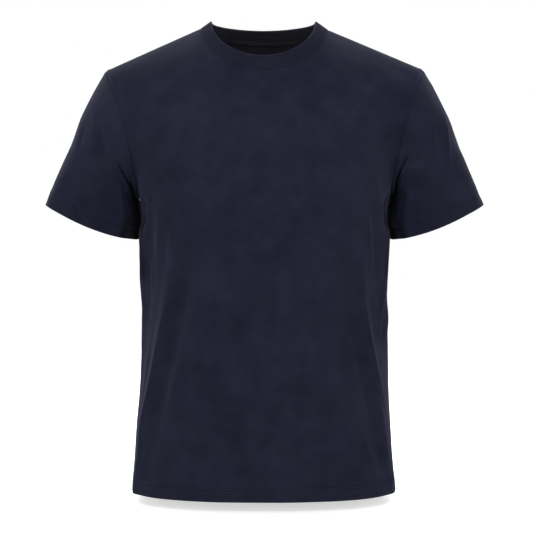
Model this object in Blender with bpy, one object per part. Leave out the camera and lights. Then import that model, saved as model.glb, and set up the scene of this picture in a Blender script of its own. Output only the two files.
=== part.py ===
"""Crew neck T-shirt in plain jersey, filled out as it is worn, with nobody in it.

Metres, +Z up. The shirt faces -Y and the wearer's left is +X. The origin is between the two
points where the shoulder seams meet the neckband, which is where the wearer carries it.
"""

import math

import bpy
from mathutils import Vector

# ---------------------------------------------------------------- sizes

WALL = 0.0013            # jersey with its seams pressed, as one wall
HEM_WALL = 0.0024        # the two layers of a turned hem
BAND_WALL = 0.0026       # folded rib
GAP = 0.0003             # left between two pieces at a seam
UNDERARM_GAP = 0.0010    # and more of it where the seam's two sides fold back to back

NECK_HALF = 0.094        # neckband seam, half its width at the shoulders
NECK_FRONT_DROP = 0.0697
NECK_BACK_DROP = 0.0046
NECK_FRONT_SHAPE = 1.8   # how square the front neckline's curve is; 2 is an ellipse
NECK_BACK_SHAPE = 1.6

SHOULDER_X = 0.2335      # end of the shoulder seam, at the top of the sleeve
SHOULDER_DROP_RIGHT = 0.0622
SHOULDER_DROP_LEFT = 0.0605
NECK_TILT = 0.0022       # the seam meets the neckband this much lower on the wearer's left
UNDERARM_X = 0.1845
UNDERARM_Z = -0.245
HEM_Z = -0.6763
HEM_DEPTH = 0.020

ARMHOLE_DEPTH = 0.083    # how far the armhole bows to the front and to the back
FRONT_ARCH = (1.95, 1.70)   # roundness of the chest as it goes over the top, at its middle and
BACK_ARCH = (2.90, 2.45)    # beside the neck; the upper back is fuller
GIRTH_SHAPE = 2.4        # roundness of a level section of the body

# Level sections of the body from the underarm down: height, half widths towards the
# wearer's right and left, and depths to the front and back.
SECTIONS = [
    # z,      right,  left,   front,  back
    (-0.245, 0.1845, 0.1845, 0.1280, 0.1180),
    (-0.262, 0.1855, 0.1855, 0.1277, 0.1170),
    (-0.300, 0.1850, 0.1850, 0.1270, 0.1140),
    (-0.352, 0.1820, 0.1820, 0.1250, 0.1070),
    (-0.400, 0.1780, 0.1792, 0.1235, 0.1020),
    (-0.460, 0.1800, 0.1812, 0.1225, 0.1010),
    (-0.530, 0.1828, 0.1822, 0.1230, 0.1050),
    (-0.580, 0.1878, 0.1848, 0.1240, 0.1100),
    (-0.630, 0.1905, 0.1876, 0.1255, 0.1150),
    (-0.6763, 0.1945, 0.1928, 0.1270, 0.1180),
]

# The largest folds of the body. Each runs down through three places, given as degrees round
# the panel from its middle to a side seam (90, or -90 on the wearer's right) and a height. It
# is so wide to either side, and stands out (or in, if negative) by its own height. "last" is
# the share of that height that is left at its lower end.
BODY_FOLDS = [
    # panel,   degrees, z at top, middle,          bottom,          width, height, last
    ("front", (-34.8, -0.270), (-53.3, -0.467), (-71.4, -0.676), 0.012, 0.0065, 0.5),
    ("front", (-27.8, -0.270), (-43.5, -0.467), (-59.2, -0.655), 0.013, -0.0050, 0.2),
    ("front", (-30.1, -0.275), (-31.4, -0.420), (-49.2, -0.581), 0.014, 0.0030, 0.0),
    ("front", (-56.1, -0.225), (-60.9, -0.330), (-70.8, -0.470), 0.011, -0.0045, 0.0),
    ("front", (-66.8, -0.250), (-76.0, -0.400), (-81.2, -0.560), 0.011, 0.0040, 0.0),
    ("front", (40.5, -0.290), (50.6, -0.450), (73.3, -0.676), 0.012, 0.0060, 0.5),
    ("front", (33.2, -0.290), (42.3, -0.450), (60.6, -0.640), 0.013, -0.0045, 0.2),
    ("front", (50.1, -0.215), (55.8, -0.300), (64.5, -0.420), 0.011, -0.0045, 0.0),
    ("front", (63.3, -0.230), (70.0, -0.360), (79.6, -0.540), 0.011, 0.0040, 0.0),
    ("back", (-36.6, -0.230), (-51.2, -0.440), (-66.9, -0.660), 0.014, 0.0065, 0.4),
    ("back", (-27.9, -0.240), (-38.9, -0.440), (-53.5, -0.650), 0.015, -0.0060, 0.2),
    ("back", (-64.0, -0.230), (-70.0, -0.350), (-78.0, -0.520), 0.012, 0.0040, 0.0),
    ("back", (-12.6, -0.300), (-15.6, -0.430), (-18.2, -0.600), 0.018, 0.0045, 0.0),
    ("back", (35.0, -0.230), (47.5, -0.430), (69.5, -0.650), 0.014, 0.0060, 0.4),
    ("back", (26.6, -0.250), (36.9, -0.430), (52.8, -0.640), 0.015, -0.0055, 0.2),
    ("back", (62.0, -0.220), (69.0, -0.340), (76.0, -0.500), 0.012, 0.0040, 0.0),
    ("back", (9.3, -0.320), (12.9, -0.440), (15.0, -0.580), 0.018, 0.0040, 0.0),
]

SLEEVE_HEM_OUTER = (0.3250, -0.008, -0.2585)   # x, y and z of the cuff's outer end
SLEEVE_HEM_INNER = (0.1880, 0.044, -0.3095)    # and of its end under the arm
SLEEVE_HEM_HALF_DEPTH = 0.041
SLEEVE_HEM_DIP = 0.009                 # the cuff's middle hangs lower than its two ends
SLEEVE_HEM_LIFT = 0.008                # the seam under the arm holds the cuff up there
SLEEVE_HEM_LIFT_REACH = 0.014

# Folds of the sleeves: round the sleeve in degrees from its top, over the front (0 to 180) and
# back under the arm by the back, at three shares of the way from the armhole to the cuff.
SLEEVE_FOLDS = [
    # side,    share, degrees at the start, middle,   end,            width, height
    ("right", (0.20, 128.0), (0.60, 134.0), (1.00, 138.0), 0.013, -0.0050),
    ("right", (0.05, 108.0), (0.50, 112.0), (0.95, 118.0), 0.012, 0.0035),
    ("right", (0.25, 62.0), (0.55, 72.0), (0.95, 92.0), 0.013, -0.0040),
    ("right", (0.20, 232.0), (0.60, 228.0), (1.00, 222.0), 0.013, -0.0045),
    ("right", (0.30, 296.0), (0.60, 286.0), (0.95, 268.0), 0.014, -0.0040),
    ("left", (0.20, 130.0), (0.60, 136.0), (1.00, 140.0), 0.013, -0.0050),
    ("left", (0.10, 104.0), (0.50, 116.0), (0.95, 124.0), 0.012, 0.0035),
    ("left", (0.20, 58.0), (0.40, 60.0), (0.65, 62.0), 0.013, -0.0035),
    ("left", (0.20, 230.0), (0.60, 226.0), (1.00, 220.0), 0.013, -0.0045),
    ("left", (0.25, 300.0), (0.55, 290.0), (0.90, 276.0), 0.014, -0.0040),
]

BAND_TIP = (0.0770, 0.0115)            # x and z of the neckband's top at the shoulders
BAND_SHIFT = -0.0015                   # its top sits a little towards the wearer's right
BAND_FRONT_TOP_Z = -0.0490
BAND_BACK_TOP_Z = 0.0060
BAND_FRONT_LEAN = 0.007
BAND_BACK_LEAN = 0.0155

TAPE_HEIGHT = 0.009
TAPE_WALL = 0.0010

NECK_STEPS = 9           # columns from the middle of the neck to the shoulder
SIDE_STEPS = 13          # columns from there to the side
UPPER_STEPS = 13         # rows from the underarm to the top
LOWER_ROWS = [-0.272, -0.300, -0.330, -0.362, -0.396, -0.430, -0.464, -0.498, -0.532, -0.566,
              -0.598, -0.628, HEM_Z + HEM_DEPTH, HEM_Z]
SLEEVE_ROWS = [0.0, 0.12, 0.25, 0.38, 0.52, 0.66, 0.79, 0.90, 1.0]


# ---------------------------------------------------------------- materials

def cloth(name, colour, roughness):
    """A plain woven or knitted finish."""
    material = bpy.data.materials.new(name)
    material.use_nodes = True
    shader = material.node_tree.nodes["Principled BSDF"]
    shader.inputs["Base Color"].default_value = (*colour, 1.0)
    shader.inputs["Roughness"].default_value = roughness
    shader.inputs["Metallic"].default_value = 0.0
    material.diffuse_color = (*colour, 1.0)
    return material


# ---------------------------------------------------------------- the body's surface

def section(z):
    """The level section at a height, read between the rows of SECTIONS."""
    if z >= SECTIONS[0][0]:
        return SECTIONS[0][1:]
    for upper, lower in zip(SECTIONS, SECTIONS[1:]):
        if z >= lower[0]:
            share = (upper[0] - z) / (upper[0] - lower[0])
            return [a + (b - a) * share for a, b in zip(upper[1:], lower[1:])]
    return SECTIONS[-1][1:]


def ridge_height(x):
    """Height of the top line: the shoulder seam, carried on gently across the neck."""
    run = SHOULDER_X - NECK_HALF
    if abs(x) < NECK_HALF:
        slope = (SHOULDER_DROP_LEFT + SHOULDER_DROP_RIGHT) / 2 / run
        return neck_tilt(x) + slope * NECK_HALF / 2 * (1.0 - (x / NECK_HALF) ** 2)
    start = neck_tilt(x)
    drop = SHOULDER_DROP_LEFT if x > 0 else SHOULDER_DROP_RIGHT
    return start - (drop + start) * (abs(x) - NECK_HALF) / run


def neck_tilt(x):
    return -NECK_TILT * smooth((x + NECK_HALF) / (2.0 * NECK_HALF))


def neckline_height(panel, x):
    drop, shape = ((NECK_FRONT_DROP, NECK_FRONT_SHAPE) if panel == "front"
                   else (NECK_BACK_DROP, NECK_BACK_SHAPE))
    return neck_tilt(x) - drop * max(0.0, 1.0 - (abs(x) / NECK_HALF) ** shape) ** (1.0 / shape)


def arch_at(panel, x):
    middle, beside = FRONT_ARCH if panel == "front" else BACK_ARCH
    return middle + (beside - middle) * smooth(abs(x) / NECK_HALF)


def armhole_x(rise):
    """How far out the armhole lies, from the underarm (rise 0) to the shoulder (rise 1)."""
    return UNDERARM_X + (SHOULDER_X - UNDERARM_X) * rise ** 1.5


def lower_point(panel, across, z):
    """A point under the armholes. across runs from -1 at one side seam to 1 at the other."""
    right, left, front, back = section(z)
    x = across * (left if across > 0 else right)
    depth = front if panel == "front" else back
    y = depth * max(0.0, 1.0 - abs(across) ** GIRTH_SHAPE) ** (1.0 / GIRTH_SHAPE)
    point = Vector((x, -y if panel == "front" else y, z))
    return fold_body(panel, point, across, depth)


def arched_depth(arch, depth, across, rise):
    """How far forward or back the body stands beside the armhole, as it rounds over the top."""
    fullness = max(0.0, 1.0 - rise ** arch) ** (1.0 / arch)
    edge = ARMHOLE_DEPTH * math.sqrt(max(0.0, 1.0 - (1.0 - rise) ** 2))
    inside = depth * max(0.0, 1.0 - abs(across) ** GIRTH_SHAPE) ** (1.0 / GIRTH_SHAPE)
    # The larger of the two, with a soft bend between them.
    return fullness * (edge ** 6 + inside ** 6) ** (1.0 / 6.0)


def upper_point(panel, across, top, climb):
    """A point beside or above the armholes. climb runs from 0 at the underarm to 1 at the top of
    its column, which is at the rise called top."""
    depth = SECTIONS[0][3] if panel == "front" else SECTIONS[0][4]
    arch = arch_at(panel, across * SHOULDER_X)
    rise = math.sin(climb * math.pi / 2) ** (2.0 / arch)
    # Level rows low down, which bend to follow the neckline higher up.
    rise *= 1.0 - (1.0 - top) * smooth((rise - 0.3) / 0.7)
    x = across * armhole_x(rise)
    z = UNDERARM_Z + (ridge_height(x) - UNDERARM_Z) * rise
    y = arched_depth(arch, depth, across, rise)
    point = Vector((x, -y if panel == "front" else y, z))
    return fold_body(panel, point, across, depth)


def smooth(value):
    value = min(1.0, max(0.0, value))
    return value * value * (3.0 - 2.0 * value)


def through(first, second, third, at):
    """The value at a place on the parabola through three (value, place) pairs."""
    (v1, p1), (v2, p2), (v3, p3) = first, second, third
    return (v1 * (at - p2) * (at - p3) / ((p1 - p2) * (p1 - p3))
            + v2 * (at - p1) * (at - p3) / ((p2 - p1) * (p2 - p3))
            + v3 * (at - p1) * (at - p2) / ((p3 - p1) * (p3 - p2)))


def fold_body(panel, point, across, depth):
    """Moves a point of the body in or out by the folds that pass near it."""
    if abs(across) > 0.9999:
        return point
    move = 0.0
    for where, top, middle, bottom, width, height, last in BODY_FOLDS:
        start, end = top[1], bottom[1]
        if where != panel or not end - 0.001 <= point.z <= start:
            continue
        angle = math.radians(through(top, middle, bottom, point.z))
        half = section(point.z)[1 if angle > 0 else 0]
        x = math.copysign(half * math.sin(abs(angle)) ** (2.0 / GIRTH_SHAPE), angle)
        y = depth * math.cos(angle) ** (2.0 / GIRTH_SHAPE)
        aside = math.hypot(point.x - x, abs(point.y) - y)
        grow = smooth((start - point.z) / 0.09)
        fade = last + (1.0 - last) * smooth((point.z - end) / 0.14)
        move += height * math.exp(-(aside / width) ** 2) * grow * fade
    # Outwards on a level section, and nothing right at the side seam so that the panels meet.
    half = max(abs(point.x) / abs(across), 0.01) if abs(across) > 0.001 else UNDERARM_X
    out = Vector((math.copysign(abs(across) ** (GIRTH_SHAPE - 1.0) / half, point.x),
                  math.copysign((abs(point.y) / depth) ** (GIRTH_SHAPE - 1.0) / depth, point.y), 0.0))
    return point + out.normalized() * move * smooth((1.0 - abs(across)) / 0.03)


def columns(panel):
    """The columns of a body panel from its right to its left: where each stands, from -1 to 1,
    and how far it rises, which is less than 1 under the neckline."""
    found = []
    for step in range(-NECK_STEPS, NECK_STEPS + 1):
        # Closer together towards the shoulder, where the neckline turns back.
        angle = (1.0 - (1.0 - abs(step) / NECK_STEPS) ** 1.35) * math.pi / 2
        x = math.copysign(math.sin(angle) ** (2.0 / NECK_FRONT_SHAPE) * NECK_HALF, step)
        rise = (neckline_height(panel, x) - UNDERARM_Z) / (ridge_height(x) - UNDERARM_Z)
        if abs(step) == NECK_STEPS:
            rise = 1.0
        found.append((x / armhole_x(rise), rise))
    start = math.asin((NECK_HALF / SHOULDER_X) ** (GIRTH_SHAPE / 2.0))
    for step in range(1, SIDE_STEPS + 1):
        angle = start + (math.pi / 2 - start) * step / SIDE_STEPS
        across = math.sin(angle) ** (2.0 / GIRTH_SHAPE)
        found = [(-across, 1.0)] + found + [(across, 1.0)]
    return found


def body_grid(panel):
    """Rows of points from the hem to the top, each from the wearer's right to left."""
    stand = columns(panel)
    rows = [[lower_point(panel, across, z) for across, _ in stand] for z in reversed(LOWER_ROWS)]
    for step in range(UPPER_STEPS + 1):
        # Closer together under the arm, where the armhole turns.
        climb = (step / UPPER_STEPS) ** 1.4
        rows.append([upper_point(panel, across, top, climb) for across, top in stand])
    # Seen from outside, every grid runs from left to right, so the back's rows are turned round.
    return rows if panel == "front" else [list(reversed(row)) for row in rows]


# ---------------------------------------------------------------- the sleeves' surface

def sleeve_grid(side, front, back):
    """Rings of points from the armhole to the cuff, on the armhole's own points."""
    sign = 1.0 if side == "left" else -1.0
    first = len(LOWER_ROWS)
    front_edge = [row[-1 if side == "left" else 0] for row in front[first:]]
    back_edge = [row[0 if side == "left" else -1] for row in back[first:]]
    # Round from the top, down the front to the underarm and up the back.
    loop = list(reversed(front_edge)) + back_edge[1:-1]
    half = len(front_edge) - 1
    lengths = [0.0]
    for a, b in zip(loop, loop[1:] + loop[:1]):
        lengths.append(lengths[-1] + (b - a).length)
    outer = Vector(SLEEVE_HEM_OUTER)
    inner = Vector(SLEEVE_HEM_INNER)
    outer.x *= sign
    inner.x *= sign
    middle, radius = (outer + inner) / 2, (outer - inner) / 2
    axis = Vector((radius.z * sign, 0.0, -radius.x * sign)).normalized()
    across = axis.cross(radius).normalized() * sign
    angles, rings = [], []
    for index in range(len(loop)):
        if index <= half:
            angles.append(math.pi * lengths[index] / lengths[half])
        else:
            angles.append(math.pi * (1.0 + (lengths[index] - lengths[half])
                                     / (lengths[-1] - lengths[half])))
    for share in SLEEVE_ROWS:
        ring = []
        for seam, angle in zip(loop, angles):
            # Under the arm body and sleeve lie almost back to back, so the sleeve stands off more.
            apart = smooth(((1.0 - math.cos(angle)) / 2 - 0.75) / 0.2)
            start = seam + Vector((sign * UNDERARM_GAP * apart, 0.0, 0.0))
            end = middle + radius * math.cos(angle)
            end += across * math.sin(angle) * SLEEVE_HEM_HALF_DEPTH
            end += axis * SLEEVE_HEM_DIP * math.sin(angle) ** 2
            under = (1.0 - math.cos(angle)) / 2
            near = max(0.0, 1.0 - (1.0 - under) * radius.length * 2.0 / SLEEVE_HEM_LIFT_REACH)
            end -= axis * SLEEVE_HEM_LIFT * near ** 2
            # Outwards all round, but down and back along the body right under the arm.
            low = under ** 6
            leave = Vector((sign * (0.50 + 0.35 * under - 0.50 * low),
                            -0.08 * math.sin(angle) + 0.20 * low, -0.80 + 0.25 * under))
            arrive = axis * (1.0 - low) + Vector((0.0, 0.0, -low))
            chord = (end - start).length
            aside = 0.5 * math.sin(angle) ** 2
            leave = leave.normalized() * (1.0 - aside) + axis * aside
            leave = leave * chord * (0.80 - 0.40 * under ** 4)
            point = hermite(start, leave, end, arrive * chord * 0.80, share)
            ring.append(point)
        rings.append(ring)
    return fold_sleeve(side, rings, angles, axis)


def hermite(start, leaving, end, arriving, t):
    return (start * (2 * t ** 3 - 3 * t ** 2 + 1) + leaving * (t ** 3 - 2 * t ** 2 + t)
            + end * (-2 * t ** 3 + 3 * t ** 2) + arriving * (t ** 3 - t ** 2))


def fold_sleeve(side, rings, angles, axis):
    folded = []
    for share, ring in zip(SLEEVE_ROWS, rings):
        centre = sum(ring, Vector()) / len(ring)
        row = []
        for point, angle in zip(ring, angles):
            out = point - centre
            out = (out - axis * out.dot(axis)).normalized()
            move = 0.0
            for where, start, middle, end, width, height in SLEEVE_FOLDS:
                if where != side or not start[0] <= share <= end[0]:
                    continue
                at = through(start[::-1], middle[::-1], end[::-1], share)
                aside = (math.degrees(angle) - at) / 360.0 * 0.36
                grow = smooth((share - start[0]) / 0.25)
                fade = 0.35 + 0.65 * smooth((end[0] - share) / 0.3)
                move += height * math.exp(-(aside / width) ** 2) * grow * fade
            row.append(point + out * move)
        folded.append(row)
    return folded


# ---------------------------------------------------------------- the neckband's surface

def band_grid(front, back):
    """Rings of points from the seam to the fold at the top, on the neckline's own points."""
    front_row = front[-1][SIDE_STEPS:-SIDE_STEPS]
    back_row = back[-1][SIDE_STEPS:-SIDE_STEPS]
    seam = front_row + back_row[1:-1]
    top = []
    for index, point in enumerate(seam):
        on_front = index < len(front_row)
        along = min(1.0, abs(point.x) / NECK_HALF)
        deep = math.sqrt(max(0.0, 1.0 - along ** 2))
        if on_front:
            x = BAND_TIP[0] * along
            z = BAND_TIP[1] - (BAND_TIP[1] - BAND_FRONT_TOP_Z) * (1.0 - along ** 1.9) ** (1.0 / 1.9)
            y = point.y + BAND_FRONT_LEAN * deep
        else:
            x = BAND_TIP[0] * along
            z = BAND_TIP[1] - (BAND_TIP[1] - BAND_BACK_TOP_Z) * deep
            y = point.y - BAND_BACK_LEAN * deep
        top.append(Vector(((math.copysign(x, point.x) if along > 1e-6 else 0.0) + BAND_SHIFT, y, z)))
    return [[a.lerp(b, share) for a, b in zip(seam, top)] for share in (0.0, 0.35, 0.7, 1.0)]


# ---------------------------------------------------------------- walls

def key(point):
    return tuple(round(value, 6) for value in point)


def surface_normals(grids):
    """Outward normals of the whole shirt at every grid point, so that walls mitre at seams."""
    total = {}
    for grid, closed in grids:
        own = {}
        for low, high in zip(grid, grid[1:]):
            count = len(low)
            for i in range(count if closed else count - 1):
                j = (i + 1) % count
                face = (high[j] - low[i]).cross(high[i] - low[j])
                for point in (low[i], low[j], high[i], high[j]):
                    own[key(point)] = own.get(key(point), Vector()) + face
        # Each piece counts the same at a seam, however large its faces there.
        for place, normal in own.items():
            total[place] = total.get(place, Vector()) + normal.normalized()
    return {place: normal.normalized() for place, normal in total.items()}


def drawn_in(grid, closed, normals, seams, draw):
    """The grid with its seam edges drawn in. seams names those among low, high, start and end."""
    rows, count = len(grid), len(grid[0])
    out = [list(row) for row in grid]

    def shift(r, c, along, inside):
        normal = normals[key(grid[r][c])]
        side = normal.cross(along).normalized()
        if side.dot(inside) < 0:
            side = -side
        out[r][c] = out[r][c] + side * draw

    for c in range(count):
        before, after = (c - 1, (c + 1) % count) if closed else (max(c - 1, 0), min(c + 1, count - 1))
        if "low" in seams:
            shift(0, c, grid[0][after] - grid[0][before], grid[1][c] - grid[0][c])
        if "high" in seams:
            shift(-1, c, grid[-1][after] - grid[-1][before], grid[-2][c] - grid[-1][c])
    for r in range(rows):
        before, after = max(r - 1, 0), min(r + 1, rows - 1)
        if "start" in seams:
            shift(r, 0, grid[after][0] - grid[before][0], grid[r][1] - grid[r][0])
        if "end" in seams:
            shift(r, -1, grid[after][-1] - grid[before][-1], grid[r][-2] - grid[r][-1])
    return out


def wall(name, grid, closed, normals, seams, thickness, material, draw=GAP / 2, rounded=False):
    """A closed cloth wall under a grid of outer points. thickness gives each row's own."""
    outer = drawn_in(grid, closed, normals, seams, draw)
    inner = [[point - normals[key(base)] * thick for point, base in zip(row, bases)]
             for row, bases, thick in zip(outer, grid, thickness)]
    rows, count = len(grid), len(grid[0])
    points = [point for row in outer for point in row] + [point for row in inner for point in row]
    total = rows * count
    turn = count if closed else count - 1
    faces = []
    for r in range(rows - 1):
        for c in range(turn):
            a, b = r * count + c, r * count + (c + 1) % count
            d, e = a + count, b + count
            # Each four-sided patch is split along its shorter diagonal, the same on both faces.
            if (points[a] - points[e]).length < (points[b] - points[d]).length:
                halves = [(a, b, e), (a, e, d)]
            else:
                halves = [(a, b, d), (b, e, d)]
            faces += halves + [tuple(total + i for i in reversed(half)) for half in halves]
    last = (rows - 1) * count
    for c in range(turn):
        n = (c + 1) % count
        faces.append((total + c, total + n, n, c))
        if not rounded:
            faces.append((last + c, last + n, total + last + n, total + last + c))
    if rounded:
        crown = len(points)
        for c in range(count):
            lift = (outer[-1][c] - outer[-2][c]).normalized() * thickness[-1] * 0.45
            points.append((outer[-1][c] + inner[-1][c]) / 2 + lift)
        for c in range(turn):
            n = (c + 1) % count
            faces += [(last + c, last + n, crown + n, crown + c),
                      (crown + c, crown + n, total + last + n, total + last + c)]
    if not closed:
        for r in range(rows - 1):
            a, d = r * count, (r + 1) * count
            faces.append((a, d, total + d, total + a))
            b, e = a + count - 1, d + count - 1
            faces.append((b, total + b, total + e, e))
    mesh = bpy.data.meshes.new(name)
    mesh.from_pydata([tuple(point) for point in points], [], faces)
    mesh.shade_smooth()
    mesh.set_sharp_from_angle(angle=math.radians(50))
    piece = bpy.data.objects.new(name, mesh)
    piece.data.materials.append(material)
    bpy.context.scene.collection.objects.link(piece)
    return piece


# ---------------------------------------------------------------- the shirt

for old in list(bpy.data.objects):
    bpy.data.objects.remove(old, do_unlink=True)

jersey = cloth("navy_jersey", (0.018, 0.021, 0.040), 0.85)
rib = cloth("navy_rib", (0.016, 0.018, 0.034), 0.85)
twill = cloth("navy_twill_tape", (0.022, 0.024, 0.036), 0.80)

front_grid = body_grid("front")
back_grid = body_grid("back")
# The back's seam edges take the front's own points, where the two meet.
for front_row, back_row in zip(front_grid, back_grid):
    back_row[0], back_row[-1] = (
        (front_row[-1], front_row[0]) if front_row[0].z <= UNDERARM_Z + 1e-6
        else (back_row[0], back_row[-1]))
for column in range(SIDE_STEPS + 1):
    back_grid[-1][column] = front_grid[-1][-1 - column]
    back_grid[-1][-1 - column] = front_grid[-1][column]

sleeve_grids = {side: sleeve_grid(side, front_grid, back_grid) for side in ("left", "right")}
neck_grid = band_grid(front_grid, back_grid)
# From outside, rings run to the viewer's right as they climb; the left sleeve's run the other way.
armed = {"left": [list(reversed(ring)) for ring in reversed(sleeve_grids["left"])],
         "right": list(reversed(sleeve_grids["right"]))}

outside = surface_normals([(front_grid, False), (back_grid, False), (armed["left"], True),
                           (armed["right"], True), (neck_grid, True)])

body_walls = [HEM_WALL, HEM_WALL] + [WALL] * (len(front_grid) - 2)
wall("front", front_grid, False, outside, ("high", "start", "end"), body_walls, jersey)
wall("back", back_grid, False, outside, ("high", "start", "end"), body_walls, jersey)
sleeve_walls = [HEM_WALL, HEM_WALL] + [WALL] * (len(SLEEVE_ROWS) - 2)
for side, rings in armed.items():
    wall("sleeve_" + side, rings, True, outside, ("high",), sleeve_walls, jersey)
wall("neckband", neck_grid, True, outside, ("low",), [BAND_WALL] * len(neck_grid), rib,
     draw=2.2 * GAP, rounded=True)

# The tape lies on the back panel's inner face, just under the neckband's seam.
tape_rows = []
for share in (1.0, 0.0):
    row = []
    for column in range(SIDE_STEPS + 2, len(back_grid[-1]) - SIDE_STEPS - 2):
        top, under = back_grid[-1][column], back_grid[-2][column]
        place = top + (under - top).normalized() * (0.0012 + TAPE_HEIGHT * share)
        inside = outside[key(top)]
        row.append(place - inside * (WALL + GAP + 0.0004))
    tape_rows.append(row)
tape_normals = {key(point): outside[key(back_grid[-1][SIDE_STEPS + 2 + index])]
                for row in tape_rows for index, point in enumerate(row)}
wall("neck_tape", tape_rows, False, tape_normals, (), [TAPE_WALL, TAPE_WALL], twill)
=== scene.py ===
# A plain crew neck T-shirt with short sleeves, filled out as it is worn, with nobody in it.
# Metres, +Z up. The shirt faces -Y, the wearer's left is +X, and the origin is between the two
# points where the shoulder seams meet the neckband.

import math

import bpy
import numpy as np
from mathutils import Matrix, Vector


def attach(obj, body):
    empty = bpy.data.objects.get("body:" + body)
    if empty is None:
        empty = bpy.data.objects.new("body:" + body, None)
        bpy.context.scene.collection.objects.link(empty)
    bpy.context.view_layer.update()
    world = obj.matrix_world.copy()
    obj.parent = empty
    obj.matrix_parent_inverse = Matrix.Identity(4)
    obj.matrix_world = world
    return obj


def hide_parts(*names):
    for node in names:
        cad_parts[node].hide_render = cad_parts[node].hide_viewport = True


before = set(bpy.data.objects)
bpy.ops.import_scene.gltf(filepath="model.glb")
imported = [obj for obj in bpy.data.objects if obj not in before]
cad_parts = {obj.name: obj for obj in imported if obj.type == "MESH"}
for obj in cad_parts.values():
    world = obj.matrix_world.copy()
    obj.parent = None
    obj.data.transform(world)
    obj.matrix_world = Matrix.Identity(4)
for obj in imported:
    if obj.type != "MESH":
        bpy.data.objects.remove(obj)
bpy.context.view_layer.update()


# ---------------------------------------------------------------- front and back panels
# Two panels of cotton single jersey. They differ only in the neckline, and are sewn together at
# the shoulders and the sides. The bottom is turned up 20 mm inside and held by a twin needle.

JERSEY = 0.0007                     # thickness of one layer
NECK_HALF = 0.094                   # half the neckline's width at the shoulders
NECKLINES = {"front": (0.0697, 1.8), "back": (0.0046, 1.6)}     # drop, and how square the curve is
NECK_TILT = 0.0022                  # the neckline is this much lower on the wearer's left
SHOULDER_X = 0.2335
SHOULDER_DROP_RIGHT = 0.0622
SHOULDER_DROP_LEFT = 0.0605
UNDERARM_X = 0.1845
UNDERARM_Z = -0.245
HEM_Z = -0.6763
ARMHOLE_DEPTH = 0.083
ARCHES = {"front": (1.95, 1.70), "back": (2.90, 2.45)}   # roundness over the top: middle, beside
GIRTH_SHAPE = 2.4                   # roundness of a level section

# Level sections: height, half widths to the wearer's right and left, depths to front and back.
SECTIONS = np.array([
    (-0.6763, 0.1945, 0.1928, 0.1270, 0.1180),
    (-0.6300, 0.1905, 0.1876, 0.1255, 0.1150),
    (-0.5800, 0.1878, 0.1848, 0.1240, 0.1100),
    (-0.5300, 0.1828, 0.1822, 0.1230, 0.1050),
    (-0.4600, 0.1800, 0.1812, 0.1225, 0.1010),
    (-0.4000, 0.1780, 0.1792, 0.1235, 0.1020),
    (-0.3520, 0.1820, 0.1820, 0.1250, 0.1070),
    (-0.3000, 0.1850, 0.1850, 0.1270, 0.1140),
    (-0.2620, 0.1855, 0.1855, 0.1277, 0.1170),
    (-0.2450, 0.1845, 0.1845, 0.1280, 0.1180),
])

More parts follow.
